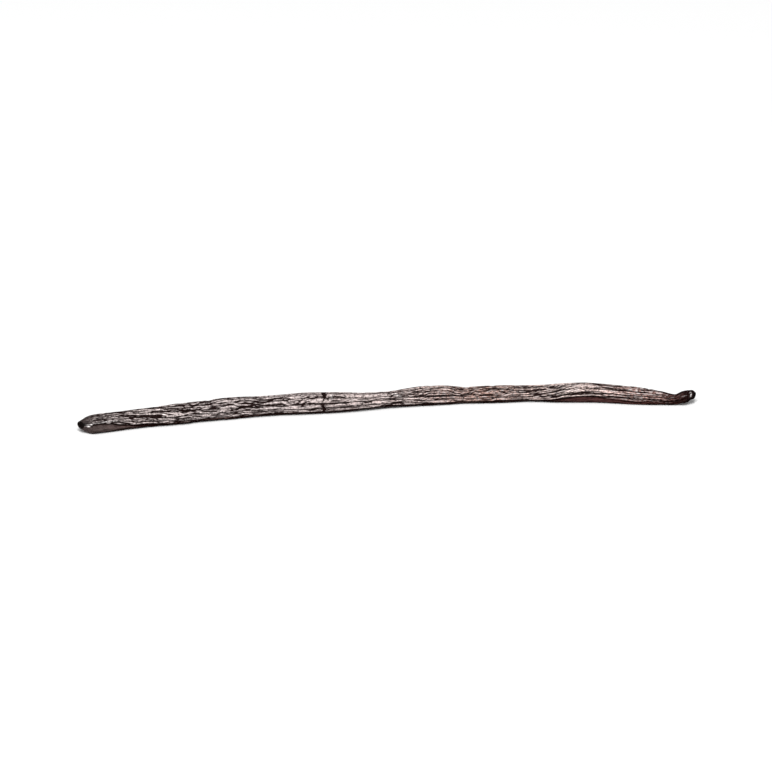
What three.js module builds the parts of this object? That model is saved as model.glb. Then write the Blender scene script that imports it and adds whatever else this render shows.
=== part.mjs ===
// A cured vanilla pod lying on its side: one long, thin, wrinkled seed pod of one piece.
// Millimetres, +Z up. The blunt blossom end is towards -X. The stem end, towards +X, narrows to a
// neck and turns up in a short crook that ends in the dished scar where the pod was picked.
// The origin is on the surface that the pod lies on, under the middle of its bounding box.
// Places along the pod are distances from the blossom scar, measured along X.
// Turns round the pod are degrees, 0 facing -Y and 90 facing up.

import * as THREE from "three";

// The whole pod
const reach = 163.4; // blossom scar to stem cut, along X
const widthShare = 1.12; // half the width, as a share of the half thickness seen from the side
const heightShare = 0.975; // half the height, as a share of the same

// Half thickness, as [place, size]: the pod without its swellings and waists
const girth = [
  [0, 1.02],
  [0.7, 1.48],
  [1.6, 2.02],
  [2.8, 2.34],
  [4.5, 2.5],
  [9, 2.52],
  [20, 2.49],
  [45, 2.7],
  [68, 2.68],
  [90, 2.42],
  [120, 2.26],
  [135, 2.42],
  [146, 2.34],
  [152, 2.02],
  [158.4, 1.33],
  [160.2, 1.57],
  [161.6, 1.55],
  [162.3, 1.42],
  [162.8, 1.38],
  [reach, 0.94],
];

// Swellings are positive and waists negative; span is half their length
const swellings = [
  { place: 15, span: 8, size: -0.08 },
  { place: 27, span: 7, size: 0.16 },
  { place: 39.5, span: 7, size: 0.17 },
  { place: 52, span: 8, size: -0.12 },
  { place: 62, span: 8, size: 0.12 },
  { place: 80.5, span: 12.5, size: -0.46 },
  { place: 93.5, span: 10, size: 0.2 },
  { place: 103.5, span: 5.5, size: -0.2 },
  { place: 120, span: 7, size: -0.2 },
  { place: 133, span: 8.5, size: 0.2 },
];

// The middle line's place sideways and its height, as [place, size]
const sideways = [
  [0, -5.9],
  [8, -4.35],
  [16, -2.9],
  [27, -1.6],
  [42, 0.3],
  [57, 0.9],
  [75, 0.8],
  [93, 2.4],
  [104, 2.1],
  [118, 1.4],
  [127, 0.3],
  [136, -0.6],
  [147, -3.2],
  [155, -5.1],
  [159, -6.0],
  [reach, -6.9],
];
const lift = [
  [0, 2.5],
  [2.4, 2.2],
  [5, 2.3],
  [12, 2.22],
  [30, 2.46],
  [45, 2.5],
  [62, 2.56],
  [80, 2.35],
  [94, 2.32],
  [110, 2.1],
  [133, 2.32],
  [146, 2.06],
  [154, 1.68],
  [158, 1.4],
  [160.5, 2.2],
  [162.2, 2.68],
  [reach, 2.62],
];

// Lengthwise creases, with a plump ridge between each two. The first is the pod's seam, and the
// others keep beside it.
const creaseCount = 12;
const seam = 0;
const creaseDepth = 0.58;
const creaseSharpness = 4; // how steeply a crease's sides climb to the ridges beside it
const creaseJitter = 0.22; // uneven spacing, as a share of the spacing
const creaseWander = 0.2; // how far a crease strays, as a share of the spacing
const wanderLength = 11;
const fadeLength = 7; // creases deepen and fade out again over about this length
const leastCrease = 0.3; // depth of the shallowest stretches, as a share of the full depth
const smoothEndLength = 7; // creases grow in over this length from the scars
const wanderKey = 20; // the first of the seeds that say how the creases stray
const fadeKey = 60; // the first of the seeds that say how they fade
const seedStride = 57; // more than the draws along the pod, so that no two creases share one
// The seam's turn, as [place, degrees]
const seamTurn = [
  [0, 20],
  [6, 17],
  [10, 2],
  [14, -17],
  [22, -38],
  [32, -56],
  [60, -66],
  [100, -66],
  [118, -52],
  [124, -36],
  [129, -17],
  [133.5, -4],
  [144, -2],
  [154.5, 2],
  [reach, 6],
];
// The creases just below the seam leave smooth skin here; span is half the length
const smoothCreases = 2;
const smoothSharpness = 4; // how abruptly the smooth skin ends
const smoothStretches = [
  { place: 7.5, span: 7.5 },
  { place: 141, span: 14 },
];

// Folds across the pod, where it has been bent: turn and spread are degrees, slant is
// how far the fold leans along the pod from one side of its spread to the other
const folds = [
  { place: 35.3, turn: 98, spread: 45, width: 1.1, depth: 0.3, slant: 0.5 },
  { place: 51.9, turn: 62, spread: 28, width: 0.7, depth: 0.3, slant: 0 },
  { place: 65.9, turn: 80, spread: 46, width: 0.9, depth: 0.52, slant: -1 },
  { place: 65.0, turn: 0, spread: 34, width: 0.8, depth: 0.42, slant: -1 },
  { place: 65, turn: -150, spread: 60, width: 0.9, depth: 0.3, slant: 0.6 },
  { place: 83.5, turn: 64, spread: 40, width: 1.2, depth: 0.3, slant: -2.6 },
  { place: 103.6, turn: 104, spread: 40, width: 1.3, depth: 0.3, slant: 0.6 },
  { place: 123.8, turn: 40, spread: 85, width: 1.0, depth: 0.26, slant: 0.8 },
  { place: 150.8, turn: -4, spread: 24, width: 0.9, depth: 0.34, slant: 0 },
  { place: 158.4, turn: 4, spread: 34, width: 0.7, depth: 0.2, slant: 0 },
];

// Scars: both ends are dished, with a rim, and face the viewer a little. Lean is how far along the
// pod the scar's ring leans for each millimetre across it, and span is where that has faded out.
const scars = [
  { place: 0, lean: 0.5, span: 3.6 },
  { place: reach, lean: -0.4, span: 3.6 },
];
const dishDepth = 0.3;
const dishFloorShare = 0.55; // radius of the dish's flat middle, as a share of the rim

// How finely the solid is divided
const pointsPerRidge = 3;
const ringStep = 1.5;
const fineStep = 0.6;
const fineReach = 1.4; // rings are close together within this distance of a fold
const endLength = 5; // and within this distance of either end

const degrees = Math.PI / 180;
const nearby = 0.05; // the middle line's direction is taken between points this far to each side

// Reads a list of [place, size] as one smooth curve through its points.
function along(stations, place) {
  const last = stations.length - 1;
  const at = Math.min(Math.max(place, stations[0][0]), stations[last][0]);
  let i = 0;
  while (i < last - 1 && at > stations[i + 1][0]) i += 1;
  const [x0, y0] = stations[i];
  const [x1, y1] = stations[i + 1];
  const slopeAt = (k) => {
    const before = stations[Math.max(k - 1, 0)];
    const after = stations[Math.min(k + 1, last)];
    return (after[1] - before[1]) / (after[0] - before[0]);
  };
  const span = x1 - x0;
  const t = (at - x0) / span;
  const rise = 3 * t * t - 2 * t * t * t;
  return (
    y0 +
    (y1 - y0) * rise +
    slopeAt(i) * span * (t - 2 * t * t + t * t * t) +
    slopeAt(i + 1) * span * (t * t * t - t * t)
  );
}

// A smooth hump: 1 at 0, 0 beyond 1 on either side.
function hump(distance) {
  const d = Math.abs(distance);
  return d >= 1 ? 0 : (1 - d * d) ** 2;
}

// One seeded draw from 0 to 1.
function draw(key) {
  const value = Math.sin(key * 12.9898 + 78.233) * 43758.5453;
  return value - Math.floor(value);
}

// Seeded wandering from -1 to 1, smooth over the given length.
function drift(key, place, length) {
  const cell = Math.floor(place / length);
  const t = place / length - cell;
  const ease = t * t * (3 - 2 * t);
  const from = draw(key * seedStride + cell);
  const to = draw(key * seedStride + cell + 1);
  return 2 * (from + (to - from) * ease) - 1;
}

// The signed difference between two turns, from -180 to 180.
function turnBetween(turn, other) {
  return ((((turn - other + 180) % 360) + 360) % 360) - 180;
}

function halfThickness(place) {
  return swellings.reduce(
    (sum, s) => sum + s.size * hump((place - s.place) / s.span),
    along(girth, place),
  );
}

const creaseSpacing = 360 / creaseCount;

// The turn at which a crease runs.
function creaseTurn(crease, place) {
  const start = along(seamTurn, place);
  if (crease === seam) return start;
  const uneven = creaseJitter * (2 * draw(crease + 1) - 1);
  const stray = creaseWander * drift(crease + wanderKey, place, wanderLength);
  return start + creaseSpacing * (crease + uneven + stray);
}

// How smooth the skin is just below the seam, from 0 to 1.
function smoothness(place) {
  const shares = smoothStretches.map(
    (s) => 1 - Math.abs((place - s.place) / s.span) ** smoothSharpness,
  );
  return Math.max(...shares, 0);
}

// How deep a crease is, in millimetres.
function creaseCut(crease, place) {
  const fade = crease === seam ? 1 : 0.5 + 0.5 * drift(crease + fadeKey, place, fadeLength);
  const kept = crease < creaseCount - smoothCreases ? 1 : 1 - smoothness(place);
  const fromEnd = Math.min(place, reach - place);
  const grown = Math.min(fromEnd / smoothEndLength, 1);
  return creaseDepth * grown * kept * (leastCrease + (1 - leastCrease) * fade);
}

function foldCut(place, turn) {
  return folds.reduce((sum, f) => {
    const off = turnBetween(turn, f.turn) / f.spread;
    const lean = (f.slant * off) / 2;
    return sum + f.depth * hump((place - f.place - lean) / f.width) * hump(off);
  }, 0);
}

// The middle line with the directions across the pod: side faces -Y and up is square to both.
function frameAt(place) {
  const middle = (p) => new THREE.Vector3(p, along(sideways, p), along(lift, p));
  const forward = middle(Math.min(place + nearby, reach))
    .sub(middle(Math.max(place - nearby, 0)))
    .normalize();
  const side = new THREE.Vector3()
    .crossVectors(forward, new THREE.Vector3(0, 0, 1))
    .normalize();
  const up = new THREE.Vector3().crossVectors(side, forward);
  return { centre: middle(place), forward, side, up };
}

// How far along the pod a ring leans, for each millimetre across it.
function leanAt(place) {
  return scars.reduce((sum, s) => sum + s.lean * hump((place - s.place) / s.span), 0);
}

// One point of the skin, between a crease and the next, pressed flat where it meets the surface.
// A ring leans about its far side, which keeps the pod as long as it is.
function skinPoint(frame, place, crease, share) {
  const next = (crease + 1) % creaseCount;
  const from = creaseTurn(crease, place);
  const to = creaseTurn(next, place) + (next === 0 ? 360 : 0);
  const turn = from + (to - from) * share;
  const cut =
    creaseCut(crease, place) * (1 - share) ** creaseSharpness +
    creaseCut(next, place) * share ** creaseSharpness +
    foldCut(place, turn);
  const half = halfThickness(place);
  const across = (half * widthShare - cut) * Math.cos(turn * degrees);
  const above = (half * heightShare - cut) * Math.sin(turn * degrees);
  const point = frame.centre
    .clone()
    .addScaledVector(frame.forward, leanAt(place) * (half * widthShare + across))
    .addScaledVector(frame.side, across)
    .addScaledVector(frame.up, above);
  point.z = Math.max(point.z, 0);
  return point;
}

function ringAt(place) {
  const frame = frameAt(place);
  const ring = [];
  for (let crease = 0; crease < creaseCount; crease += 1)
    for (let i = 0; i < pointsPerRidge; i += 1)
      ring.push(skinPoint(frame, place, crease, i / pointsPerRidge));
  return ring;
}

// A dished scar: the end ring drawn in and sunk into the pod, and the middle of the dish.
function dish(rim, place, inwards) {
  const { centre, forward } = frameAt(place);
  const rimMiddle = centre.addScaledVector(
    forward,
    leanAt(place) * halfThickness(place) * widthShare,
  );
  const sunk = forward.clone().multiplyScalar(inwards * dishDepth);
  const floor = rim.map((point) =>
    point.clone().sub(rimMiddle).multiplyScalar(dishFloorShare).add(rimMiddle).add(sunk),
  );
  return { floor, middle: rimMiddle.clone().add(sunk) };
}

// Rings stand close together at the folds and at both ends, and further apart between them.
function ringPlaces() {
  const places = [0];
  let place = 0;
  while (place < reach) {
    const atFold = folds.some((f) => Math.abs(place - f.place) < fineReach);
    const atEnd = Math.min(place, reach - place) < endLength;
    place += atFold || atEnd ? fineStep : ringStep;
    places.push(Math.min(place, reach));
  }
  return places;
}

// Joins the rings, first to last, into one closed skin.
function skinGeometry() {
  const rings = ringPlaces().map(ringAt);
  const blossomDish = dish(rings[0], 0, 1);
  const stemDish = dish(rings[rings.length - 1], reach, -1);
  const all = [blossomDish.floor, ...rings, stemDish.floor];
  const sides = creaseCount * pointsPerRidge;
  const points = [...all.flat(), blossomDish.middle, stemDish.middle];
  const blossomTip = points.length - 2;
  const stemTip = points.length - 1;

  const faces = [];
  for (let ring = 0; ring < all.length - 1; ring += 1)
    for (let i = 0; i < sides; i += 1) {
      const a = ring * sides + i;
      const b = ring * sides + ((i + 1) % sides);
      faces.push(a, a + sides, b + sides, a, b + sides, b);
    }
  const lastRing = (all.length - 1) * sides;
  for (let i = 0; i < sides; i += 1) {
    const next = (i + 1) % sides;
    faces.push(blossomTip, i, next);
    faces.push(stemTip, lastRing + next, lastRing + i);
  }
  return new THREE.BufferGeometry().setFromPoints(points).setIndex(faces);
}

function podMesh() {
  const geometry = skinGeometry();
  geometry.computeBoundingBox();
  const middle = geometry.boundingBox.getCenter(new THREE.Vector3());
  geometry.translate(-middle.x, -middle.y, -geometry.boundingBox.min.z);
  geometry.computeVertexNormals();
  const curedSkin = new THREE.MeshStandardMaterial({
    color: "#5c4846",
    roughness: 0.45,
    metalness: 0,
  });
  const mesh = new THREE.Mesh(geometry, curedSkin);
  mesh.name = "pod";
  return mesh;
}

const vanillaPod = new THREE.Group();
vanillaPod.add(podMesh());

export default vanillaPod;
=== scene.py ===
"""The looks of one cured vanilla pod, lying on a white floor.

A vanilla pod is an orchid's seed capsule. Curing shrinks its flesh, so its thin oily skin is drawn
into ridges that run along it, with sharp dark grooves between them. The skin here is one mesh: the
solid's own form at a finer division, with the wrinkles that are too fine for the solid cut into it
by a tree of geometry nodes. The same net of wrinkles darkens the material, as painted shade in the
grooves.

Meshes and the studio are in metres, and the pod's own sizes in millimetres and degrees. Places along
the pod are counted from the blossom scar, and turns round it from the side that faces -Y, with 90
facing up.
"""

import logging
import math
from dataclasses import dataclass, field
from enum import Enum

import bpy
import numpy as np
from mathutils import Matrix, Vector


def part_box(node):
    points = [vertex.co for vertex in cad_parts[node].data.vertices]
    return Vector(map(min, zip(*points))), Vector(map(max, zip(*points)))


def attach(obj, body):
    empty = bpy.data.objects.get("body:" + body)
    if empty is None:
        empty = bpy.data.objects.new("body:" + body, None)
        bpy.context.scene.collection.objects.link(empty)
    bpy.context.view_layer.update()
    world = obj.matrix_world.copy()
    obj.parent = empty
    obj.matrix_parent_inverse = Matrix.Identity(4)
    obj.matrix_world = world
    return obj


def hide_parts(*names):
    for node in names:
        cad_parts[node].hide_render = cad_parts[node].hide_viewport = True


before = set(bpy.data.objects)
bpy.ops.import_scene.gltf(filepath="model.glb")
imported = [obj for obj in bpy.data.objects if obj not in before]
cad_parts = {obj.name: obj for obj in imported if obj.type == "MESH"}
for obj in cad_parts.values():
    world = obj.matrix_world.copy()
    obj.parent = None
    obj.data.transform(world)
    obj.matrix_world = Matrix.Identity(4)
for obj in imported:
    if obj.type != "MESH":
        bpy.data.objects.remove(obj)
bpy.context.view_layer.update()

NODE = "pod"
BODY = "root"
MM = 0.001

Stations = tuple[tuple[float, float], ...]
Tree = bpy.types.NodeTree
Socket = bpy.types.NodeSocket
Given = float | Socket
Sockets = dict[str, Socket]

log = logging.getLogger("vanilla_pod")


def linear(hex_colour: str) -> tuple[float, float, float, float]:
    """Turns an sRGB hex colour to linear light.

    Args:
        hex_colour: The colour, such as "#3b2626".

    Returns:
        Red, green, blue and an alpha of 1.
    """
    shares = [int(hex_colour[i : i + 2], 16) / 255 for i in (1, 3, 5)]
    lit = [s / 12.92 if s <= 0.04045 else ((s + 0.055) / 1.055) ** 2.4 for s in shares]
    return (lit[0], lit[1], lit[2], 1.0)


def add_node(
    tree: Tree,
    kind: str,
    inputs: dict[str | int, object] | None = None,
    **settings: object,
) -> Socket | None:
    """Adds one node to a tree, with its settings, values and links.

    Args:
        tree: The tree that takes the node.
        kind: The node's type name.
        inputs: For each input, by its name or number, its value or the socket that feeds it.
        settings: The node's own properties, such as its operation.

    Returns:
        The node's first output in use, or None where it has none.
    """
    node = tree.nodes.new(kind)
    for name, value in settings.items():
        setattr(node, name, value)
    for key, value in (inputs or {}).items():
        if isinstance(value, Socket):
            tree.links.new(value, node.inputs[key])
        else:
            node.inputs[key].default_value = value
    return next((socket for socket in node.outputs if socket.enabled), None)


def along(stations: Stations, places: np.ndarray) -> np.ndarray:
    """Reads a list of (place, size) as one smooth curve through its points.

    Args:
        stations: The places, rising, each with its size.
        places: Where to read the curve.

    Returns:
        The sizes there.
    """
    stops, sizes = np.array(stations).T
    last = len(stops) - 1
    at = np.clip(places, stops[0], stops[last])
    i = np.clip(np.searchsorted(stops, at, side="left") - 1, 0, last - 1)

    def slope(k: np.ndarray) -> np.ndarray:
        """The curve's slope at stations k."""
        before, after = np.maximum(k - 1, 0), np.minimum(k + 1, last)
        return (sizes[after] - sizes[before]) / (stops[after] - stops[before])

    span = stops[i + 1] - stops[i]
    t = (at - stops[i]) / span
    rise = 3 * t**2 - 2 * t**3
    leaving = slope(i) * span * (t - 2 * t**2 + t**3)
    arriving = slope(i + 1) * span * (t**3 - t**2)
    return sizes[i] + (sizes[i + 1] - sizes[i]) * rise + leaving + arriving


def hump(distance: np.ndarray) -> np.ndarray:
    """A smooth hump: 1 at 0, and 0 beyond 1 on either side."""
    return np.where(np.abs(distance) < 1, (1 - distance**2) ** 2, 0.0)


def draw(key: np.ndarray) -> np.ndarray:
    """One seeded draw from 0 to 1 for each key, from the far decimals of a sine."""
    value = np.sin(key * 12.9898 + 78.233) * 43758.5453
    return value - np.floor(value)


def turn_between(turn: np.ndarray, other: np.ndarray | float) -> np.ndarray:
    """The signed difference between two turns, from -180 to 180 degrees."""
    return (turn - other + 180) % 360 - 180


@dataclass(frozen=True)
class Swelling:
    """A stretch where the pod is thicker, or a waist where size is below 0; span is half its length."""

    place: float
    span: float
    size: float


@dataclass(frozen=True)
class Fold:
    """A fold or crack across the pod; slant is how far it leans along the pod over its spread."""

    place: float
    turn: float
    spread: float
    width: float
    depth: float
    slant: float = 0.0

    def share(self, places: np.ndarray, turns: np.ndarray) -> np.ndarray:
        """Finds how far into the fold each point is.

        Args:
            places: The points' places.
            turns: Their turns.

        Returns:
            The share, from 0 outside the fold to 1 in its middle.
        """
        off = turn_between(turns, self.turn) / self.spread
        lean = self.slant * off / 2
        return hump((places - self.place - lean) / self.width) * hump(off)


@dataclass(frozen=True)
class DarkLine:
    """A dark line along the pod: its turn and strength at each place, and half its width as a turn.

    It strays by up to a share of its spread, and its strength is steady, give or take uneven.
    """

    turn: Stations
    strength: Stations
    spread: float
    stray: float = 1 / 3
    steady: float = 0.85
    uneven: float = 0.3

    def share(self, places: np.ndarray, turns: np.ndarray, drift: np.ndarray) -> np.ndarray:
        """Finds how dark each point is.

        Args:
            places: The rings' places.
            turns: The points' turns.
            drift: How the line strays and fades at each place, from -1 to 1.

        Returns:
            The share, from 0 outside the line to 1 in its middle.
        """
        middle = along(self.turn, places) + self.stray * self.spread * drift
        strength = np.clip(along(self.strength, places) * (self.steady + self.uneven * drift), 0, 1)
        return strength[:, None] * hump(turn_between(turns, middle[:, None]) / self.spread)


@dataclass(frozen=True)
class SmoothStretch:
    """A stretch with smooth skin just below the seam; span is half its length."""

    place: float
    span: float


@dataclass(frozen=True)
class Scar:
    """An end's dished scar; lean is how far its ring leans along the pod for each mm across it."""

    place: float
    lean: float
    span: float


@dataclass(frozen=True)
class Axes:
    """The middle line's points, with the directions along it, to the side and up."""

    centre: np.ndarray
    forward: np.ndarray
    side: np.ndarray
    up: np.ndarray


@dataclass(frozen=True)
class Skin:
    """Rings of skin points, with how far into a crease or a crack each is, for the painted shade there.
    """

    points: np.ndarray
    turns: np.ndarray
    creases: np.ndarray
    cracks: np.ndarray


@dataclass(frozen=True)
class PodForm:
    """The form of the pod, by the same driving sizes as the solid, and the finer cracks in it."""

    reach: float = 163.4
    width_share: float = 1.12
    height_share: float = 0.975
    girth: Stations = (
        (0, 1.02), (0.7, 1.48), (1.6, 2.02), (2.8, 2.34), (4.5, 2.5), (9, 2.52), (20, 2.49),
        (45, 2.7), (68, 2.68), (90, 2.42), (120, 2.26), (135, 2.42), (146, 2.34), (152, 2.02),
        (158.4, 1.33), (160.2, 1.57), (161.6, 1.55), (162.3, 1.42), (162.8, 1.38), (163.4, 0.94),
    )
    swellings: tuple[Swelling, ...] = (
        Swelling(15, 8, -0.08),
        Swelling(27, 7, 0.16),
        Swelling(39.5, 7, 0.17),
        Swelling(52, 8, -0.12),
        Swelling(62, 8, 0.12),
        Swelling(80.5, 12.5, -0.46),
        Swelling(93.5, 10, 0.2),
        Swelling(103.5, 5.5, -0.2),
        Swelling(120, 7, -0.2),
        Swelling(133, 8.5, 0.2),
    )
    sideways: Stations = (
        (0, -5.9), (8, -4.35), (16, -2.9), (27, -1.6), (42, 0.3), (57, 0.9), (75, 0.8),
        (93, 2.4), (104, 2.1), (118, 1.4), (127, 0.3), (136, -0.6), (147, -3.2), (155, -5.1),
        (159, -6.0), (163.4, -6.9),
    )
    lift: Stations = (
        (0, 2.5), (2.4, 2.2), (5, 2.3), (12, 2.22), (30, 2.46), (45, 2.5), (62, 2.56),
        (80, 2.35), (94, 2.32), (110, 2.1), (133, 2.32), (146, 2.06), (154, 1.68), (158, 1.4),
        (160.5, 2.2), (162.2, 2.68), (163.4, 2.62),
    )
    crease_count: int = 12
    seam: int = 0
    crease_depth: float = 0.58
    crease_sharpness: int = 4
    crease_jitter: float = 0.22
    crease_wander: float = 0.2
    wander_length: float = 11
    fade_length: float = 7
    least_crease: float = 0.3
    smooth_end_length: float = 7
    wander_key: int = 20
    fade_key: int = 60
    seed_stride: int = 57
    seam_turn: Stations = (
        (0, 20), (6, 17), (10, 2), (14, -17), (22, -38), (32, -56), (60, -66), (100, -66),
        (118, -52), (124, -36), (129, -17), (133.5, -4), (144, -2), (154.5, 2), (163.4, 6),
    )
    smooth_creases: int = 2
    smooth_sharpness: int = 4
    smooth_stretches: tuple[SmoothStretch, ...] = (
        SmoothStretch(7.5, 7.5),
        SmoothStretch(141, 14),
    )
    folds: tuple[Fold, ...] = (
        Fold(35.3, 98, 45, 1.1, 0.3, 0.5),
        Fold(51.9, 62, 28, 0.7, 0.3),
        Fold(65.9, 80, 46, 0.9, 0.52, -1),
        Fold(65.0, 0, 34, 0.8, 0.42, -1),
        Fold(65, -150, 60, 0.9, 0.3, 0.6),
        Fold(83.5, 64, 40, 1.2, 0.3, -2.6),
        Fold(103.6, 104, 40, 1.3, 0.3, 0.6),
        Fold(123.8, 40, 85, 1.0, 0.26, 0.8),
        Fold(150.8, -4, 24, 0.9, 0.34),
        Fold(158.4, 4, 34, 0.7, 0.2),
    )
    cracks: tuple[Fold, ...] = (
        Fold(35.4, 104, 16, 0.7, 0.2),
        Fold(51.9, 60, 16, 0.22, 0.15),
        Fold(65.6, 90, 38, 0.8, 0.25),
        Fold(65.5, 50, 26, 0.28, 0.2, 1.2),
        Fold(66.5, 47, 15, 0.24, 0.2),
        Fold(65.1, 6, 19, 0.62, 0.25, -0.5),
        Fold(65.5, -22, 12, 0.55, 0.2, 0.4),
        Fold(65.3, -150, 55, 0.3, 0.2, 0.6),
        Fold(103.8, 108, 12, 0.5, 0.15),
        Fold(151.6, 6, 12, 0.5, 0.25),
        Fold(158.6, 8, 11, 0.4, 0.2),
        Fold(162.35, 10, 120, 0.2, 0.12),
        Fold(161.5, 30, 60, 0.18, 0.1, 0.4),
    )
    line_sharpness: int = 11
    line_depth: float = 0.16
    # The painted shade in the creases and cracks: how narrow and how strong it is.
    mark_sharpness: int = 7
    wide_sharpness: int = 3
    mark_strength: float = 2.0
    crack_strength: float = 3.5
    scars: tuple[Scar, ...] = (Scar(0, 0.5, 3.6), Scar(163.4, -0.4, 3.6))
    dish_depth: float = 0.3

    def drift(self, key: int, places: np.ndarray, length: float) -> np.ndarray:
        """Seeded wandering from -1 to 1, smooth over the given length.

        Args:
            key: The seed.
            places: Where to read it.
            length: The length over which it changes.

        Returns:
            The drift at each place.
        """
        cell = np.floor(places / length)
        t = places / length - cell
        ease = t * t * (3 - 2 * t)
        start = draw(key * self.seed_stride + cell)
        end = draw(key * self.seed_stride + cell + 1)
        return 2 * (start + (end - start) * ease) - 1

    def half_thickness(self, places: np.ndarray) -> np.ndarray:
        """Half the pod's thickness at each place."""
        swollen = sum(s.size * hump((places - s.place) / s.span) for s in self.swellings)
        return along(self.girth, places) + swollen

    def crease_turn(self, crease: int, places: np.ndarray) -> np.ndarray:
        """Finds the turn at which a crease runs.

        Args:
            crease: Which crease.
            places: Where to read it.

        Returns:
            Its turn at each place.
        """
        start = along(self.seam_turn, places)
        if crease == self.seam:
            return start
        uneven = self.crease_jitter * (2 * draw(np.float64(crease + 1)) - 1)
        drifted = self.drift(crease + self.wander_key, places, self.wander_length)
        spacing = 360 / self.crease_count
        return start + spacing * (crease + uneven + self.crease_wander * drifted)

    def smoothness(self, places: np.ndarray) -> np.ndarray:
        """Finds how smooth the skin is just below the seam.

        Args:
            places: Where to read it.

        Returns:
            The share at each place, from 0 to 1.
        """
        sharpness = self.smooth_sharpness
        shares = [1 - np.abs((places - s.place) / s.span) ** sharpness for s in self.smooth_stretches]
        return np.maximum(np.max(shares, axis=0), 0)

    def crease_cut(self, crease: int, places: np.ndarray) -> np.ndarray:
        """Finds how deep a crease is.

        Args:
            crease: Which crease.
            places: Where to read it.

        Returns:
            Its depth at each place, as a share of the deepest.
        """
        fade = 0.5 + 0.5 * self.drift(crease + self.fade_key, places, self.fade_length)
        if crease == self.seam:
            fade = np.ones_like(places)
        is_smoothed = crease >= self.crease_count - self.smooth_creases
        kept = 1 - self.smoothness(places) if is_smoothed else 1.0
        from_end = np.minimum(places, self.reach - places)
        grown = np.minimum(from_end / self.smooth_end_length, 1)
        least = self.least_crease
        return grown * kept * (least + (1 - least) * fade)

    def lean(self, places: np.ndarray) -> np.ndarray:
        """How far along the pod a ring leans, for each millimetre across it."""
        return sum(s.lean * hump((places - s.place) / s.span) for s in self.scars)

    def axes(self, places: np.ndarray) -> Axes:
        """Finds the middle line, with the directions across the pod.

        Args:
            places: Where to read it.

        Returns:
            Its points and directions.
        """

        def middle(at: np.ndarray) -> np.ndarray:
            """The middle line's points."""
            return np.stack([at, along(self.sideways, at), along(self.lift, at)], axis=-1)

        nearby = 0.05
        forward = middle(np.minimum(places + nearby, self.reach))
        forward = forward - middle(np.maximum(places - nearby, 0))
        forward /= np.linalg.norm(forward, axis=-1, keepdims=True)
        side = np.cross(forward, [0.0, 0.0, 1.0])
        side /= np.linalg.norm(side, axis=-1, keepdims=True)
        return Axes(middle(places), forward, side, np.cross(side, forward))

    def skin(self, places: np.ndarray, per_ridge: int) -> Skin:
        """Rings of skin, pressed flat where they meet the floor.

        Args:
            places: Each ring's place.
            per_ridge: The columns from one crease to the next.

        Returns:
            The rings, in millimetres.
        """
        column = np.arange(self.crease_count * per_ridge)
        crease = column // per_ridge
        share = (column % per_ridge) / per_ridge
        following = (crease + 1) % self.crease_count
        creases = range(self.crease_count)
        lines = np.stack([self.crease_turn(c, places) for c in creases], axis=1)
        cuts = np.stack([self.crease_cut(c, places) for c in creases], axis=1)
        start = lines[:, crease]
        end = lines[:, following] + np.where(following == 0, 360.0, 0.0)
        turns = start + (end - start) * share

        def crossed(sharpness: int) -> np.ndarray:
            """The creases' depth across each ridge, as a share of the deepest."""
            near, far = (1 - share) ** sharpness, share**sharpness
            return cuts[:, crease] * near + cuts[:, following] * far

        rows = places[:, None]
        line = crossed(self.line_sharpness)
        # Painted shade: how dark the material paints each crease and crack, apart from how deep it is
        # cut.
        marks = np.minimum(cuts * self.mark_strength, 1)
        is_wide = np.isin(np.array(creases), (self.seam, self.crease_count // 2))
        sharpness = np.where(is_wide, self.wide_sharpness, self.mark_sharpness)
        mark = marks[:, crease] * (1 - share) ** sharpness[crease]
        mark = mark + marks[:, following] * share ** sharpness[following]
        crack = self.crack_strength * sum(c.share(rows, turns) for c in self.cracks)
        cut = self.crease_depth * crossed(self.crease_sharpness) + self.line_depth * line
        cut = cut + sum(f.depth * f.share(rows, turns) for f in self.folds + self.cracks)
        half = self.half_thickness(places)[:, None]
        angle = np.radians(turns)
        across = (half * self.width_share - cut) * np.cos(angle)
        above = (half * self.height_share - cut) * np.sin(angle)
        ahead = self.lean(rows) * (half * self.width_share + across)
        axes = self.axes(places)
        points = axes.centre[:, None, :] + sum(
            direction[:, None, :] * distance[:, :, None]
            for direction, distance in ((axes.forward, ahead), (axes.side, across), (axes.up, above))
        )
        points[:, :, 2] = np.maximum(points[:, :, 2], 0)
        return Skin(points, turns, mark, np.minimum(crack, 1))


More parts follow.
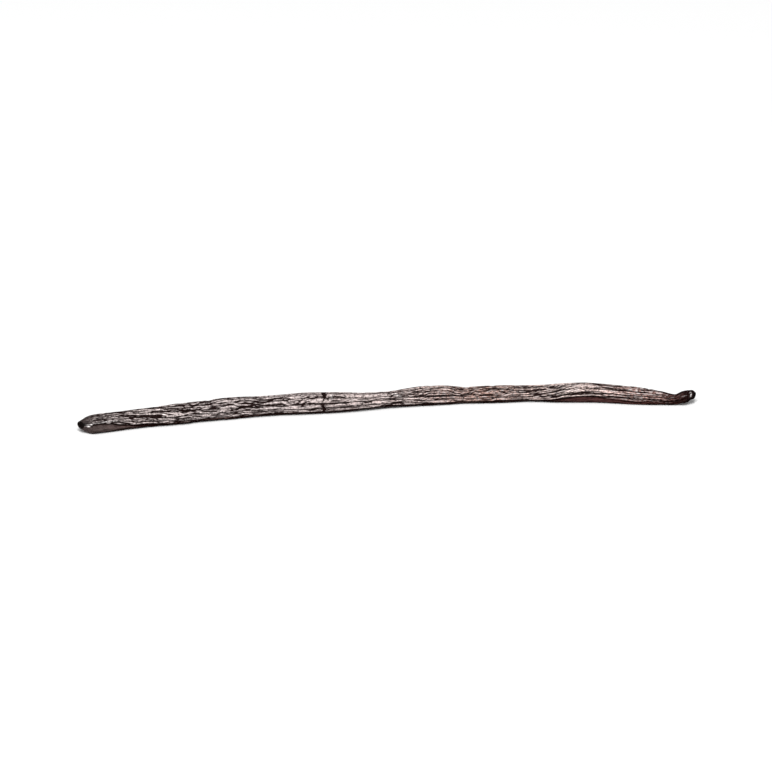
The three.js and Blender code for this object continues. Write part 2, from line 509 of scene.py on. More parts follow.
@dataclass(frozen=True)
class Grooves:
    """Grooves that run along the pod, wander across it, come and go, and meet each other.

    The grooves stray by one noise, and show where another, in patches, is above a level.
    """

    stray_width: float = 4.2
    stray_detail: float = 1.5
    patch_length: float = 6.0
    patch_width: float = 1.2
    patch_detail: float = 3.0
    none_below: float = 0.44
    full_above: float = 0.52

    def add(self, tree: Tree, unrolled: Socket, sizes: dict[str, Given]) -> Socket:
        """Adds one family of grooves to a geometry or shader tree.

        Args:
            tree: The tree.
            unrolled: The point on the unrolled pod, in millimetres.
            sizes: The value or the socket for each size of a Wrinkle, by its name.

        Returns:
            How far into a groove the point is, from 0 to 1.
        """
        seed = sizes["seed"]
        start = add_node(tree, "ShaderNodeCombineXYZ", {"X": seed, "Y": seed, "Z": seed})
        moved = add_node(tree, "ShaderNodeVectorMath", {0: unrolled, 1: start}, operation="ADD")

        def spots(length: Given, width: float, detail: float) -> Socket:
            """Adds noise in spots.

            Args:
                length: The spots' length along the pod.
                width: Their width across it.
                detail: How much finer noise they hold.

            Returns:
                The noise at the point.
            """
            size = add_node(tree, "ShaderNodeCombineXYZ", {"X": length, "Y": width, "Z": width})
            cells = add_node(tree, "ShaderNodeVectorMath", {0: moved, 1: size}, operation="DIVIDE")
            inputs = {"Vector": cells, "Scale": 1.0, "Detail": detail}
            return add_node(tree, "ShaderNodeTexNoise", inputs)

        sides = add_node(tree, "ShaderNodeSeparateXYZ", {"Vector": unrolled}).node.outputs
        angle = add_node(tree, "ShaderNodeMath", {0: sides["Z"], 1: sides["Y"]}, operation="ARCTAN2")
        turns = add_node(tree, "ShaderNodeMath", {0: angle, 1: 1 / math.tau}, operation="MULTIPLY")
        lines = add_node(tree, "ShaderNodeMath", {0: turns, 1: sizes["count"]}, operation="MULTIPLY")
        stray = spots(sizes["length"], self.stray_width, self.stray_detail)
        inputs = {0: stray, 1: sizes["wander"], 2: lines}
        phase = add_node(tree, "ShaderNodeMath", inputs, operation="MULTIPLY_ADD")
        off = add_node(tree, "ShaderNodeMath", {0: phase, 1: 0.5}, operation="PINGPONG")
        patch = spots(self.patch_length, self.patch_width, self.patch_detail)
        inputs = {"Value": off, "From Max": sizes["width"], "To Min": 1.0, "To Max": 0.0}
        wall = add_node(tree, "ShaderNodeMapRange", inputs, interpolation_type="SMOOTHSTEP")
        inputs = {"Value": patch, "From Min": self.none_below, "From Max": self.full_above}
        there = add_node(tree, "ShaderNodeMapRange", inputs)
        return add_node(tree, "ShaderNodeMath", {0: wall, 1: there}, operation="MULTIPLY")


@dataclass(frozen=True)
class Wrinkle:
    """One family of grooves along the pod.

    The count is how many run side by side round the pod, and the length is how far one runs before it
    turns. Wander is how far it strays and width half its width, as shares of their spacing. The depth
    is how deep it is cut, and 0 where it is only drawn.
    """

    count: float
    length: float
    wander: float
    width: float
    seed: float
    depth: float = 0.0

    def sizes(self) -> dict[str, float]:
        """The sizes, by name."""
        return dict(vars(self))


class Tint(Enum):
    """The skin's tints: each one's place, and its colour there on the ridges and below the seam.

    The ridge colours are partly the skin's dry, dusty crests and partly painted sheen from the white
    room; those below the seam are darker, partly the skin's own colour and partly painted shade.
    """

    BLOSSOM_END = (0.1, "#120e0e", "#423938")
    DARK_COLLAR = (1.8, "#3f3837", "#4a403e")
    GREY_SHOULDER = (4.0, "#655c5b", "#4d4341")
    ROSY_BODY = (22.0, "#b2a5a2", "#54423f")
    PALE_BODY = (50.0, "#b0a3a1", "#5b4845")
    PALE_WAIST = (84.0, "#b2a19d", "#574440")
    TAN_STRETCH = (108.0, "#98786d", "#503a35")
    PALE_TAIL = (131.0, "#cdbab4", "#48302f")
    BROWN_TAIL = (149.0, "#bc988f", "#4e302d")
    NECK = (158.0, "#5c3b37", "#2a1513")
    STEM_END = (162.0, "#1d0e0d", "#0c0404")

    def __init__(self, place: float, ridge: str, shaded_below_seam: str) -> None:
        """Names the three values."""
        self.place, self.ridge, self.shaded_below_seam = place, ridge, shaded_below_seam


@dataclass(frozen=True)
class CuredSkin:
    """Vanilla skin, cured by sweating and drying: thin, oily and half glossy.

    The crests of its ridges look rosy grey, partly dry skin and partly painted sheen from the white
    room; its grooves are painted nearly black, as their shade, and light flecks sit on it. Skin below
    the seam is smooth, browner and darker, partly its own colour and partly painted shade. The real
    grain is about 0.1 mm wide, and it is drawn three times as wide, so that it shows.
    """

    # Painted shade: the near black that the grooves, creases and cracks take.
    groove_shade: str = "#130403"
    scar: str = "#120d0c"
    fleck: str = "#d8cbc8"
    # Painted highlight: the near white of the glints.
    shine: str = "#f8f2f0"
    roughness: float = 0.33
    groove_roughness: float = 0.75
    sheen: float = 0.4
    groove_sheen: float = 0.02
    ior: float = 1.47
    fine: Wrinkle = Wrinkle(count=37, length=5.0, wander=5.0, width=0.4, seed=31.0)
    grooves: Grooves = Grooves()
    deepest: float = 0.99
    mottle_length: float = 2.4
    mottle_width: float = 0.6
    mottle_range: tuple[float, float] = (0.55, 1.5)
    grain_length: float = 0.48
    grain_width: float = 0.3
    grain_range: tuple[float, float] = (-0.6, 2.5)
    fleck_length: float = 0.9
    fleck_width: float = 0.35
    fleck_range: tuple[float, float] = (-3.2, 3.2)
    noise_range: tuple[float, float] = (0.28, 0.72)
    noise_detail: float = 2.0
    bump_height: float = 0.03
    bump_strength: float = 0.6
    groove_bump: float = -1.2

    def build(self, name: str, cut: tuple[Wrinkle, ...], reach: float) -> bpy.types.Material:
        """Makes the material.

        Args:
            name: The material's name.
            cut: The wrinkles that are cut into the mesh, whose grooves it darkens.
            reach: The pod's length, over which the tints change.

        Returns:
            The material.
        """
        material = bpy.data.materials.new(name)
        material.use_nodes = True
        tree = material.node_tree
        tree.nodes.clear()
        names = "place line crack lower dull pale scar strength grain flecks"
        at = {n: self.attribute(tree, n, "Fac") for n in names.split()}
        unrolled = self.attribute(tree, "unrolled", "Vector")
        grain = self.noise(tree, unrolled, self.grain_length, self.grain_width, self.grain_range)
        hollow = self.hollow(tree, unrolled, cut, at)

        skin = self.skin_between_grooves(tree, unrolled, grain, at, reach)
        # Painted shade: grooves, creases and cracks are darkened by how deep they are.
        skin = self.blend(tree, hollow, skin, linear(self.groove_shade))
        skin = self.blend(tree, at["scar"], skin, linear(self.scar))
        # Painted highlights: the glints, broken up by the grain.
        glint_highlight = add_node(tree, "ShaderNodeMath", {0: at["pale"], 1: grain}, operation="MULTIPLY")
        skin = self.blend(tree, glint_highlight, skin, linear(self.shine))

        dull = add_node(tree, "ShaderNodeMath", {0: hollow, 1: at["dull"]}, operation="MAXIMUM")
        rough, sheen = (
            add_node(tree, "ShaderNodeMapRange", {"Value": dull, "To Min": glossy, "To Max": matt})
            for glossy, matt in (
                (self.roughness, self.groove_roughness),
                (self.sheen, self.groove_sheen),
            )
        )
        inputs = {0: hollow, 1: self.groove_bump, 2: grain}
        height = add_node(tree, "ShaderNodeMath", inputs, operation="MULTIPLY_ADD")
        distance = self.bump_height * MM
        inputs = {"Strength": self.bump_strength, "Distance": distance, "Height": height}
        normal = add_node(tree, "ShaderNodeBump", inputs)
        inputs = {"Base Color": skin, "Roughness": rough, "Normal": normal}
        inputs |= {"IOR": self.ior, "Specular IOR Level": sheen}
        shader = add_node(tree, "ShaderNodeBsdfPrincipled", inputs)
        add_node(tree, "ShaderNodeOutputMaterial", {"Surface": shader})
        return material

    def skin_between_grooves(
        self,
        tree: Tree,
        unrolled: Socket,
        grain: Socket,
        at: Sockets,
        reach: float,
    ) -> Socket:
        """Mixes the skin's colour between its grooves, with its painted sheen and shade.

        Args:
            tree: The material's tree.
            unrolled: The point on the unrolled pod, in millimetres.
            grain: The grain's value at the point.
            at: The mesh's attributes.
            reach: The pod's length.

        Returns:
            The colour at the point.
        """
        share = add_node(tree, "ShaderNodeMath", {0: at["place"], 1: reach}, operation="DIVIDE")
        # The ridge tints are partly painted sheen, and those below the seam partly painted shade.
        ridge = self.ramp(tree, share, [(tint.place / reach, tint.ridge) for tint in Tint])
        shaded_below_seam = self.ramp(tree, share, [(tint.place / reach, tint.shaded_below_seam) for tint in Tint])
        skin = self.blend(tree, at["lower"], ridge, shaded_below_seam)
        mottle = self.noise(tree, unrolled, self.mottle_length, self.mottle_width, self.mottle_range)
        skin = self.blend(tree, 1.0, skin, mottle, "MULTIPLY")
        skin = self.blend(tree, at["grain"], skin, grain, "MULTIPLY")
        spots = self.noise(tree, unrolled, self.fleck_length, self.fleck_width, self.fleck_range)
        inputs = {0: spots, 1: 0.0}
        shown = add_node(tree, "ShaderNodeMath", inputs, operation="MAXIMUM", use_clamp=True)
        inputs = {0: shown, 1: at["flecks"]}
        flecks = add_node(tree, "ShaderNodeMath", inputs, operation="MULTIPLY", use_clamp=True)
        return self.blend(tree, flecks, skin, linear(self.fleck))

    def attribute(self, tree: Tree, name: str, output: str) -> Socket:
        """Reads one of the mesh's attributes."""
        return add_node(tree, "ShaderNodeAttribute", attribute_name=name).node.outputs[output]

    def ramp(self, tree: Tree, share: Socket, stops: list[tuple[float, str]]) -> Socket:
        """Adds tints that change along the pod.

        Args:
            tree: The material's tree.
            share: How far along the pod the point is, from 0 to 1.
            stops: How far along each colour is full, rising, and the colour.

        Returns:
            The colour at the point.
        """
        tints = add_node(tree, "ShaderNodeValToRGB", {"Fac": share})
        elements = tints.node.color_ramp.elements
        for i, (position, colour) in enumerate(stops):
            element = elements[i] if i < len(elements) else elements.new(position)
            element.position = position
            element.color = linear(colour)
        return tints

    def blend(
        self,
        tree: Tree,
        share: Given,
        below: object,
        above: object,
        blend_type: str = "MIX",
    ) -> Socket:
        """Lays one colour over another.

        Args:
            tree: The material's tree.
            share: How much of the upper colour shows.
            below: The lower colour.
            above: The upper colour.
            blend_type: How the two are joined.

        Returns:
            The joined colour.
        """
        factor, lower, upper = 0, 6, 7
        inputs = {factor: share, lower: below, upper: above}
        return add_node(tree, "ShaderNodeMix", inputs, data_type="RGBA", blend_type=blend_type)

    def noise(
        self,
        tree: Tree,
        unrolled: Socket,
        length: float,
        width: float,
        ends: tuple[float, float],
    ) -> Socket:
        """Adds uneven spots, drawn out along the pod.

        Args:
            tree: The material's tree.
            unrolled: The point on the unrolled pod, in millimetres.
            length: The spots' length.
            width: The spots' width.
            ends: The values in the darkest and the lightest spots.

        Returns:
            The value at the point.
        """
        scale = (1 / length, 1 / width, 1 / width)
        spots = add_node(tree, "ShaderNodeVectorMath", {0: unrolled, 1: scale}, operation="MULTIPLY")
        inputs = {"Vector": spots, "Scale": 1.0, "Detail": self.noise_detail}
        value = add_node(tree, "ShaderNodeTexNoise", inputs)
        names = ("From Min", "From Max", "To Min", "To Max")
        shown = {"Value": value} | dict(zip(names, self.noise_range + ends))
        return add_node(tree, "ShaderNodeMapRange", shown)

    def hollow(self, tree: Tree, unrolled: Socket, cut: tuple[Wrinkle, ...], at: Sockets) -> Socket:
        """Adds up how deep the point is in creases, cracks and wrinkles, which sets the painted shade.

        Args:
            tree: The material's tree.
            unrolled: The point on the unrolled pod, in millimetres.
            cut: The wrinkles that are cut into the mesh.
            at: The mesh's attributes.

        Returns:
            The depth, from 0 to 1.
        """
        total = add_node(tree, "ShaderNodeMath", {0: at["line"], 1: at["crack"]}, operation="ADD")
        for wrinkle in (*cut, self.fine):
            grooves = self.grooves.add(tree, unrolled, wrinkle.sizes())
            inputs = {0: grooves, 1: at["strength"], 2: total}
            total = add_node(tree, "ShaderNodeMath", inputs, operation="MULTIPLY_ADD")
        return add_node(tree, "ShaderNodeMath", {0: total, 1: self.deepest}, operation="MINIMUM")


@dataclass(frozen=True)
class WrinkleRelief:
    """Wrinkles that run along the pod and meet, cut into its skin by geometry nodes."""

    wrinkles: tuple[Wrinkle, ...] = (
        Wrinkle(count=24, length=8.0, wander=2.9, width=0.42, seed=3.0, depth=0.22),
        Wrinkle(count=16, length=5.0, wander=3.9, width=0.29, seed=17.0, depth=0.22),
    )
    grooves: Grooves = Grooves()
    ridge_height: float = 0.13

    def sizes(self) -> dict[str, float]:
        """The tree's inputs, by name: the ridges' height and each size of each family of wrinkles."""
        return {"ridge height": self.ridge_height} | {
            f"{name} {i}": size
            for i, wrinkle in enumerate(self.wrinkles)
            for name, size in wrinkle.sizes().items()
        }

    def tree(self, material: bpy.types.Material) -> Tree:
        """Makes the tree that cuts the wrinkles.

        Args:
            material: The finish that the tree sets.

        Returns:
            The tree, with a named input for each size.
        """
        tree = bpy.data.node_groups.new("wrinkle_relief", "GeometryNodeTree")
        tree.interface.new_socket("Geometry", in_out="INPUT", socket_type="NodeSocketGeometry")
        for name in self.sizes():
            tree.interface.new_socket(name, in_out="INPUT", socket_type="NodeSocketFloat")
        tree.interface.new_socket("Geometry", in_out="OUTPUT", socket_type="NodeSocketGeometry")
        given = tree.nodes.new("NodeGroupInput").outputs

        def read(name: str, kind: str) -> Socket:
            """Reads one of the mesh's attributes."""
            return add_node(tree, "GeometryNodeInputNamedAttribute", {"Name": name}, data_type=kind)

        unrolled = read("unrolled", "FLOAT_VECTOR")
        inputs = {0: given["ridge height"], 1: -1.0}
        depth = add_node(tree, "ShaderNodeMath", inputs, operation="MULTIPLY")
        for i, wrinkle in enumerate(self.wrinkles):
            sizes = {name: given[f"{name} {i}"] for name in wrinkle.sizes()}
            grooves = self.grooves.add(tree, unrolled, sizes)
            inputs = {0: grooves, 1: sizes["depth"], 2: depth}
            depth = add_node(tree, "ShaderNodeMath", inputs, operation="MULTIPLY_ADD")
        inputs = {0: read("strength", "FLOAT"), 1: -MM}
        strength = add_node(tree, "ShaderNodeMath", inputs, operation="MULTIPLY")
        inwards = add_node(tree, "ShaderNodeMath", {0: depth, 1: strength}, operation="MULTIPLY")
        normal = add_node(tree, "GeometryNodeInputNormal")
        inputs = {0: normal, "Scale": inwards}
        offset = add_node(tree, "ShaderNodeVectorMath", inputs, operation="SCALE")
        inputs = {"Geometry": given["Geometry"], "Offset": offset}
        cut = add_node(tree, "GeometryNodeSetPosition", inputs)
        # The pod lies within a metre of the origin, so this holds the height alone, at the floor.
        lowest = (-1.0, -1.0, 0.0)
        place = add_node(tree, "GeometryNodeInputPosition")
        above = add_node(tree, "ShaderNodeVectorMath", {0: place, 1: lowest}, operation="MAXIMUM")
        pressed = add_node(tree, "GeometryNodeSetPosition", {"Geometry": cut, "Position": above})
        real = add_node(tree, "GeometryNodeRealizeInstances", {"Geometry": pressed})
        finished = add_node(tree, "GeometryNodeSetMaterial", {"Geometry": real, "Material": material})
        add_node(tree, "NodeGroupOutput", {"Geometry": finished})
        return tree

    def cut(self, smooth: bpy.types.Object, material: bpy.types.Material) -> bpy.types.Mesh:
        """Cuts the wrinkles into a skin.

        Args:
            smooth: The skin without its fine wrinkles.
            material: The skin's finish.

        Returns:
            The wrinkled skin as a plain mesh.
        """
        modifier = smooth.modifiers.new("wrinkles", "NODES")
        modifier.node_group = self.tree(material)
        sizes = self.sizes()
        for socket in modifier.node_group.interface.items_tree:
            if socket.name in sizes:
                modifier[socket.identifier] = sizes[socket.name]
        graph = bpy.context.evaluated_depsgraph_get()
        mesh = bpy.data.meshes.new_from_object(
            smooth.evaluated_get(graph), preserve_all_data_layers=True, depsgraph=graph
        )
        smooth.modifiers.remove(modifier)
        return mesh


@dataclass(frozen=True)
class PodSkin:
    """The pod's wrinkled skin, which stands for the solid.

    The skin is browner, darker and duller up to lower_turn on both sides, partly its own colour and
    partly painted shade on the side turned down, and near both ends it takes the same darker tint above
    upper_turn too. Calm takes the wrinkles off the facet, the smooth skin just below the seam, and
    back_calm makes those at the back shallower. The stations dull, strength, grain and flecks say how
    much of each there is along the pod. A glint is a painted highlight, and its depth is its
    brightness.
    """

    form: PodForm = field(default_factory=PodForm)
    relief: WrinkleRelief = field(default_factory=WrinkleRelief)
    finish: CuredSkin = field(default_factory=CuredSkin)
    per_ridge: int = 14
    ring_step: float = 0.38
    crack_step: float = 0.14
    end_step: float = 0.1
    crack_reach: float = 0.9
    end_reach: float = 2.6
    dish_shares: tuple[float, ...] = (0.93, 0.84, 0.72, 0.58, 0.43, 0.28, 0.13)
    dish_flatness: int = 4
    unrolled_radius: float = 2.6
    uv_strips: int = 3
    uv_margin: float = 0.02
    facet_spread: float = 44
    facet_turn: float = -26
    facet_strength: float = 2.0
    lower_turn: Stations = (
        (0, 9), (0.8, 13), (2.5, 20), (3.8, 30), (6, 22), (12.8, -14), (22, -21), (32, -26),
        (60, -27), (100, -27), (115, -30), (124.3, -36), (128.4, -20), (130.6, -6), (135.2, 1),
        (139.8, -3), (143.9, -10), (148.2, -14), (156, -14), (160, -10), (163.4, -10),
    )
    upper_turn: float = 62
    upper_fade: float = 40
    upper: Stations = (
        (0, 0.75), (4, 0.7), (9, 0.35), (15, 0), (134, 0), (144, 0.55), (156, 0.8), (163.4, 0.6),
    )
    lower_fade: float = 9
    lower_stray: float = 5
    lower_length: float = 2.6
    lower_key: int = 90
    dark_lines: tuple[DarkLine, ...] = (
        # Painted shade along the seam, where the smooth face is tucked under it.
        DarkLine(
            turn=(
                (0, 8), (0.8, 12), (2.5, 19), (3.8, 29), (6, 21), (12.8, -18), (21, -40), (32, -66),
                (118, -60), (124.3, -43), (126.4, -36), (128.4, -25), (130.6, -11), (135.2, -4),
                (139.8, -8), (143.9, -17), (148.2, -27), (156, -32), (163.4, -30),
            ),
            strength=(
                (0, 0), (0.6, 0), (1, 0.9), (14, 0.95), (26, 0.8), (36, 0), (120, 0), (125, 0.8),
                (130, 1), (143, 1), (148, 0.7), (156, 0.5), (159, 0), (163.4, 0),
            ),
            spread=10,
        ),
        # Painted shade along the lower edge, close to the floor.
        DarkLine(
            turn=((0, -38), (3, -34), (6, -46), (22, -48), (112, -48), (126, -54), (163.4, -56)),
            strength=(
                (0, 0), (0.5, 0.1), (3, 0.4), (8, 0.95), (28, 1.1), (112, 1.1), (126, 0.8),
                (150, 0.85), (157, 0.9), (162, 0.9), (163.4, 0),
            ),
            spread=23,
        ),
        # Along the crown, towards the back.
        DarkLine(
            turn=((0, 106), (3.3, 96), (6, 96), (20, 106), (150, 106), (160, 86), (163.4, 80)),
            strength=(
                (0, 0), (0.6, 0.8), (6, 0.9), (20, 0.8), (32, 0.4), (66, 0.4), (84, 0.6), (98, 0.5),
                (112, 0.2), (126, 0.1), (134, 0.6), (142, 0.85), (158, 0.8), (162.8, 0.9), (163.4, 0),
            ),
            spread=16,
        ),
    )
    line_key: int = 95
    line_length: float = 3.4
    # Painted highlights, laid on as near white glints along the pod and at both ends.
    glints: tuple[Fold, ...] = (
        Fold(0.6, 10, 6, 0.5, 1.6, 0.3),
        Fold(1.9, 29.5, 5, 1.6, 1.5, 1.5),
        Fold(6.8, 30, 7, 4.2, 0.35),
        Fold(0.1, -117, 34, 0.16, 0.5),
        Fold(161.0, 34, 8, 1.3, 0.3, -1.0),
        Fold(163.1, 25, 36, 0.13, 1.1),
        Fold(162.85, 56, 12, 0.3, 0.4),
        Fold(67.4, 62, 20, 0.5, 0.4, 0.6),
        Fold(84.6, 58, 34, 0.7, 0.4, -2.6),
    )
    calm: Stations = ((0, 0.9), (60, 0.9), (112, 0.8), (142, 0.7), (150, 0.2), (163.4, 0.2))
    back_turn: float = 155
    back_spread: float = 105
    back_calm: float = 0.4
    facet_calm: float = 0.8
    scar_strength: float = 0.3
    scar_grain: float = 0.5
    dull: Stations = (
        (0, 0.9), (3, 0.6), (12, 0.3), (30, 0.1), (90, 0.1), (110, 0.3), (130, 0.1), (146, 0.5),
        (156, 0.9), (163.4, 0.95),
    )
    strength: Stations = (
        (0, 0.1), (3, 0.35), (10, 0.85), (16, 1.1), (30, 1.15), (50, 0.98), (62, 0.8), (67, 0.6),
        (78, 0.65), (84, 0.95), (100, 0.85), (115, 0.88), (124, 0.88), (132, 0.76), (146, 0.82),
        (155, 0.8), (160, 0.6), (163.4, 0.2),
    )
    grain: Stations = (
        (0, 0.7), (4, 0.9), (14, 0.8), (30, 0.7), (66, 0.7), (80, 0.8), (100, 0.8), (128, 0.6),
        (163.4, 0.8),
    )
    flecks: Stations = (
        (0, 0.0), (2.2, 0.2), (6, 0.8), (16, 0.6), (50, 0.5), (66, 0.4), (84, 0.7), (100, 0.5),
        (124, 0.6), (140, 0.7), (152, 0.8), (157, 0.3), (160, 0.05), (163.4, 0.0),
    )

    def ring_places(self) -> np.ndarray:
        """Spaces the rings, closer together at the cracks and both ends.

        Returns:
            Each ring's place.
        """
        reach = self.form.reach
        places = [0.0]
        while places[-1] < reach:
            place = places[-1]
            step = self.ring_step
            if any(abs(place - c.place) < self.crack_reach for c in self.form.cracks):
                step = self.crack_step
            if min(place, reach - place) < self.end_reach:
                step = self.end_step
            places.append(min(place + step, reach))
        return np.array(places)

    def dish(self, rim: np.ndarray, place: float, inwards: int) -> tuple[np.ndarray, np.ndarray]:
        """A dished scar: the end ring drawn in and sunk into the pod.

        Args:
            rim: The end ring's points.
            place: The end's place.
            inwards: 1 where forward points into the pod, and -1 where it points out of it.

        Returns:
            The scar's rings, rim side first, and its middle.
        """
        at = np.array([place])
        axes = self.form.axes(at)
        forward = axes.forward[0]
        aside = self.form.lean(at) * self.form.half_thickness(at) * self.form.width_share
        middle = axes.centre[0] + forward * aside
        shares = np.array(self.dish_shares)[:, None, None]
        sunk = forward * inwards * self.form.dish_depth
        return middle + (rim - middle) * shares + sunk * (1 - shares**self.dish_flatness), middle + sunk

    def build(self) -> bpy.types.Object:
        """Builds the wrinkled skin as one object at the origin.

        Returns:
            The finished piece.
        """
        form = self.form
        places = self.ring_places()
        skin = form.skin(places, self.per_ridge)
        blossom, blossom_middle = self.dish(skin.points[0], 0.0, 1)
        stem, stem_middle = self.dish(skin.points[-1], form.reach, -1)
        rings = np.concatenate([blossom[::-1], skin.points, stem])
        points = np.concatenate([rings.reshape(-1, 3), [blossom_middle, stem_middle]])

        mesh = bpy.data.meshes.new("pod_skin")
        mesh.from_pydata(self.in_frame(points).tolist(), [], self.faces(*rings.shape[:2]))
        mesh.shade_smooth()
        self.unwrap(mesh, rings)
        self.describe(mesh, skin, places)

        smooth = bpy.data.objects.new("pod_skin_smooth", mesh)
        bpy.context.scene.collection.objects.link(smooth)
        material = self.finish.build("cured_vanilla_skin", self.relief.wrinkles, form.reach)
        piece = bpy.data.objects.new("pod_skin", self.relief.cut(smooth, material))
        bpy.data.objects.remove(smooth)
        bpy.context.scene.collection.objects.link(piece)
        return piece

    def in_frame(self, points: np.ndarray) -> np.ndarray:
        """Moves points from the pod's own places to where the solid is.

        Args:
            points: The points, in millimetres.

        Returns:
            The points, in metres.
        """
        low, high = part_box(NODE)
        centre = (points.min(axis=0) + points.max(axis=0)) / 2 * MM
        shift = (np.array(low) + np.array(high)) / 2 - centre
        shift[2] = 0
        return points * MM + shift

    def faces(self, ring_count: int, columns: int) -> list[list[int]]:
        """The faces that join the rings and close both ends.

        Args:
            ring_count: How many rings there are.
            columns: How many points each has.

        Returns:
            Each face's points, with the two end fans last.
        """
        first = np.arange(ring_count - 1)[:, None] * columns
        here, following = np.arange(columns), (np.arange(columns) + 1) % columns
        corners = [first + here, first + columns + here, first + columns + following, first + following]
        quads = np.stack(corners, axis=-1).reshape(-1, 4)
        blossom_tip = np.full(columns, ring_count * columns)
        last_ring = (ring_count - 1) * columns
        fans = [
            np.stack([blossom_tip, here, following], axis=-1),
            np.stack([blossom_tip + 1, last_ring + following, last_ring + here], axis=-1),
        ]
        return quads.tolist() + np.concatenate(fans).tolist()

    def unwrap(self, mesh: bpy.types.Mesh, rings: np.ndarray) -> None:
        """Gives the skin its map: the pod cut into a few equal lengths, one strip above another.

        Args:
            mesh: The skin.
            rings: Its rings, in millimetres.
        """
        ring_count, columns = rings.shape[:2]
        steps = np.linalg.norm(np.diff(rings, axis=0), axis=2).mean(axis=1)
        travel = np.concatenate([[0.0], np.cumsum(steps)]) / steps.sum()
        strip = np.minimum((travel[:-1] * self.uv_strips).astype(int), self.uv_strips - 1)
        strips = range(self.uv_strips)
        starts = np.array([travel[:-1][strip == s].min() for s in strips])
        stops = np.array([travel[1:][strip == s].max() for s in strips])
        inner = 1 - 2 * self.uv_margin

        def spot(ring: np.ndarray, column: np.ndarray, row: np.ndarray) -> np.ndarray:
            """Finds where a point lies on the map.

            Args:
                ring: The point's ring.
                column: Its column.
                row: The row of faces whose strip it lies in.

            Returns:
                Its place on the map, across and up.
            """
            s = strip[row]
            u = self.uv_margin + inner * (travel[ring] - starts[s]) / (stops[s] - starts[s])
            v = (s + self.uv_margin + inner * column / columns) / self.uv_strips
            return np.stack(np.broadcast_arrays(u, v), axis=-1)

        row, column = np.arange(ring_count - 1)[:, None], np.arange(columns)
        corners = [(row, column), (row + 1, column), (row + 1, column + 1), (row, column + 1)]
        spots = [np.stack([spot(r, c, row) for r, c in corners], axis=2).reshape(-1, 2)]
        for ring, outward in ((0, -1), (ring_count - 1, 1)):
            side = np.full(columns, min(ring, ring_count - 2))
            edges = [spot(np.full(columns, ring), column + k, side) for k in (0, 1)]
            tip = (edges[0] + edges[1]) / 2 + np.array([outward * self.uv_margin / 2, 0.0])
            spots.append(np.stack([tip, *edges[::-outward]], axis=1).reshape(-1, 2))
        layer = mesh.uv_layers.new(name="OFBake")
        layer.data.foreach_set("uv", np.concatenate(spots).astype(np.float32).ravel())

    def shading(self, skin: Skin, places: np.ndarray) -> dict[str, tuple[np.ndarray, float]]:
        """Works out what the wrinkles and the material read on the rings and in the scars.

        Args:
            skin: The rings, with their creases and cracks.
            places: Each ring's place.

        Returns:
            For each attribute, its values on the rings and its one value in the scars.
        """

        def zone(stations: Stations) -> np.ndarray:
            """A strength that changes along the pod, as one column."""
            return along(stations, places)[:, None]

        smooth = self.form.smoothness(places)[:, None]
        from_seam = turn_between(skin.turns, zone(self.form.seam_turn))
        facet = hump(turn_between(from_seam, self.facet_turn) / self.facet_spread)
        facet = np.minimum(facet * self.facet_strength, 1) * (from_seam < 0) * smooth * zone(self.calm)
        # Painted shade, partly the skin's own browner colour: the side turned down, below lower_turn,
        # takes the darker tint.
        from_bottom = np.abs(turn_between(skin.turns, -90))
        ragged = self.lower_stray * self.form.drift(self.lower_key, places, self.lower_length)
        below = 90 + (along(self.lower_turn, places) + ragged)[:, None] - from_bottom
        lower = np.clip(0.5 + below / self.lower_fade, 0, 1)
        above = from_bottom - 90 - self.upper_turn
        darker_above = np.clip(0.5 + above / self.upper_fade, 0, 1) * zone(self.upper)
        back = hump(turn_between(skin.turns, self.back_turn) / self.back_spread)
        # Painted shade along the seam and the lower edge, and a dark line along the crown.
        keys = range(self.line_key, self.line_key + len(self.dark_lines))
        drifts = [self.form.drift(key, places, self.line_length) for key in keys]
        dark = sum(d.share(places, skin.turns, drift) for d, drift in zip(self.dark_lines, drifts))
        # Painted highlights: how bright each point's glint is.
        glint = sum(g.depth * g.share(places[:, None], skin.turns) for g in self.glints)
        strength = zone(self.strength) * (1 - facet) * (1 - self.back_calm * back)
        return {
            "line": (np.maximum(skin.creases, dark), 0.0),
            "crack": (skin.cracks, 0.0),
            "lower": (np.maximum(lower, darker_above), 0.0),
            "dull": (np.maximum(lower, zone(self.dull)), 1.0),
            "pale": (glint, 0.0),
            "scar": (np.zeros(1), 1.0),
            "strength": (strength, self.scar_strength),
            "grain": (zone(self.grain) * (1 - self.facet_calm * facet), self.scar_grain),
            "flecks": (zone(self.flecks) * (1 - lower), 0.0),
        }

    def describe(self, mesh: bpy.types.Mesh, skin: Skin, places: np.ndarray) -> None:
        """Stores what the wrinkles and the material read at each point.

        Args:
            mesh: The skin.
            skin: Its rings, with their creases and cracks.
            places: Each ring's place.
        """
        sunk, columns = len(self.dish_shares), skin.turns.shape[1]
        shares = np.array(self.dish_shares)
        share = np.concatenate([shares[::-1], np.ones(len(places)), shares])
        place = np.concatenate([np.zeros(sunk), places, np.full(sunk, self.form.reach)])
        values = {"place": np.append(np.repeat(place, columns), [0.0, self.form.reach])}
        for name, (rings, middle) in self.shading(skin, places).items():
            rings = np.broadcast_to(rings, (len(places), columns))
            scar = np.full((sunk, columns), middle)
            values[name] = np.append(np.concatenate([scar, rings, scar]), [middle, middle])
        for name, value in values.items():
            layer = mesh.attributes.new(name, "FLOAT", "POINT")
            layer.data.foreach_set("value", value.astype(np.float32))

        radius = self.unrolled_radius * np.append(np.repeat(share, columns), [0.0, 0.0])
        angle = np.append(np.tile(np.arange(columns) * math.tau / columns, len(place)), [0.0, 0.0])
        unrolled = np.stack([values["place"], radius * np.cos(angle), radius * np.sin(angle)], axis=-1)
        layer = mesh.attributes.new("unrolled", "FLOAT_VECTOR", "POINT")
        layer.data.foreach_set("vector", unrolled.astype(np.float32).ravel())


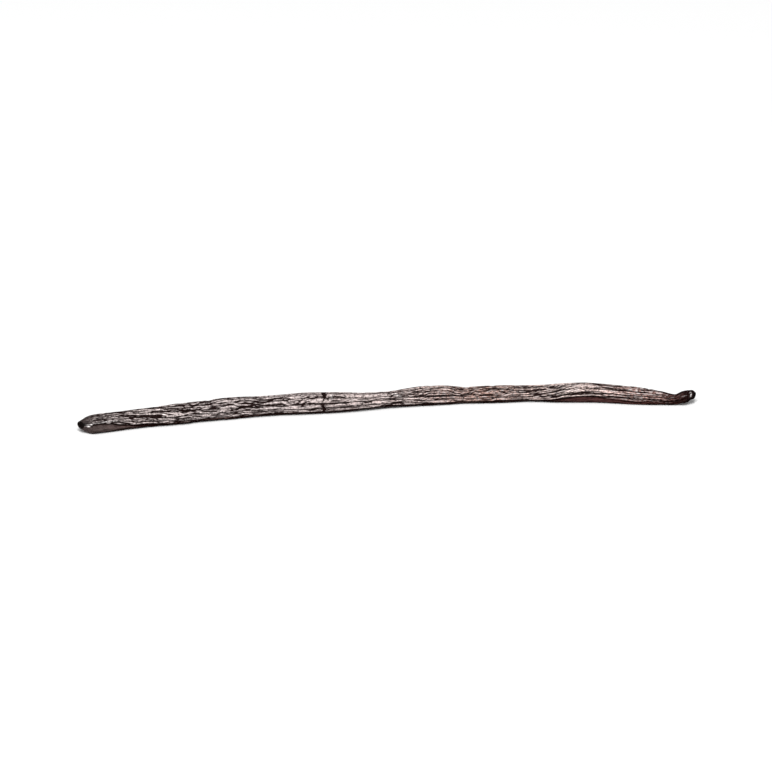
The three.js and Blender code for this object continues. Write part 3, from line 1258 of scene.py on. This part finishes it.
@dataclass(frozen=True)
class Studio:
    """A white floor in a bright white room, and a long lens at the pod's own angle.

    The camera's angles are in degrees and its lens and sensor in millimetres. The light's power is
    in watts. The floor's and the light's sizes and places are in metres.
    """

    azimuth: float = -6.9
    elevation: float = 24.0
    lens: float = 800.0
    sensor: float = 36.0
    sight: float = 20.0
    picture_width: int = 772
    picture_height: int = 774
    mm_per_pixel: float = 0.2634
    origin_pixel: tuple[float, float] = (385.4, 411.6)
    floor_half: float = 3.0
    floor_colour: str = "#f4f4f4"
    floor_roughness: float = 0.9
    world_strength: float = 0.35
    key_power: float = 84.0
    key_size: float = 1.2
    key_place: tuple[float, float, float] = (-0.3, -1.6, 2.0)

    def directions(self) -> tuple[Vector, Vector, Vector]:
        """Finds which way the camera faces.

        Returns:
            Its right, up and back directions.
        """
        turn, rise = math.radians(self.azimuth), math.radians(self.elevation)
        level = math.cos(rise)
        back = Vector((math.sin(turn) * level, -math.cos(turn) * level, math.sin(rise)))
        right = Vector((math.cos(turn), math.sin(turn), 0.0))
        return right, back.cross(right), back

    def camera(self) -> None:
        """Adds the camera, aimed so that the pod's origin falls on its own pixel."""
        right, up, back = self.directions()
        pixel = self.mm_per_pixel * MM
        across = (self.picture_width / 2 - self.origin_pixel[0]) * pixel
        above = (self.origin_pixel[1] - self.picture_height / 2) * pixel
        frame_size = max(self.picture_width, self.picture_height) * pixel
        data = bpy.data.cameras.new("camera")
        data.lens = self.lens
        data.sensor_width = self.sensor
        data.clip_end = self.sight
        camera = bpy.data.objects.new("camera", data)
        camera.location = right * across + up * above + back * (frame_size * self.lens / self.sensor)
        camera.rotation_euler = back.to_track_quat("Z", "Y").to_euler()
        bpy.context.scene.collection.objects.link(camera)
        bpy.context.scene.camera = camera

    def floor(self) -> None:
        """Adds the floor: matt white card, which is bare and even to the eye."""
        half = self.floor_half
        corners = [(-half, -half, 0), (half, -half, 0), (half, half, 0), (-half, half, 0)]
        mesh = bpy.data.meshes.new("floor")
        mesh.from_pydata(corners, [], [(0, 1, 2, 3)])
        material = bpy.data.materials.new("white_card")
        material.use_nodes = True
        shader = material.node_tree.nodes["Principled BSDF"]
        shader.inputs["Base Color"].default_value = linear(self.floor_colour)
        shader.inputs["Roughness"].default_value = self.floor_roughness
        mesh.materials.append(material)
        floor = bpy.data.objects.new("floor", mesh)
        bpy.context.scene.collection.objects.link(floor)

    def lights(self) -> None:
        """Adds the white surroundings and one large soft light above and in front."""
        world = bpy.data.worlds.new("white_room")
        world.use_nodes = True
        sky = world.node_tree.nodes["Background"]
        sky.inputs["Color"].default_value = (1.0, 1.0, 1.0, 1.0)
        sky.inputs["Strength"].default_value = self.world_strength
        bpy.context.scene.world = world
        data = bpy.data.lights.new("softbox", "AREA")
        data.shape = "SQUARE"
        data.size = self.key_size
        data.energy = self.key_power
        softbox = bpy.data.objects.new("softbox", data)
        softbox.location = self.key_place
        softbox.rotation_euler = Vector(self.key_place).to_track_quat("Z", "Y").to_euler()
        bpy.context.scene.collection.objects.link(softbox)

    def build(self) -> None:
        """Sets up the whole studio."""
        self.camera()
        self.floor()
        self.lights()
        bpy.context.scene.view_settings.view_transform = "Standard"


def main() -> None:
    """Builds the studio and the pod, and reports each piece."""
    logging.basicConfig(level=logging.INFO, format="%(name)s: %(message)s")
    Studio().build()
    pod = PodSkin().build()
    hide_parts(NODE)
    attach(pod, BODY)
    triangles = sum(len(p.vertices) - 2 for p in pod.data.polygons)
    log.info("%s: %d triangles", pod.name, triangles)


if __name__ == "__main__":
    main()
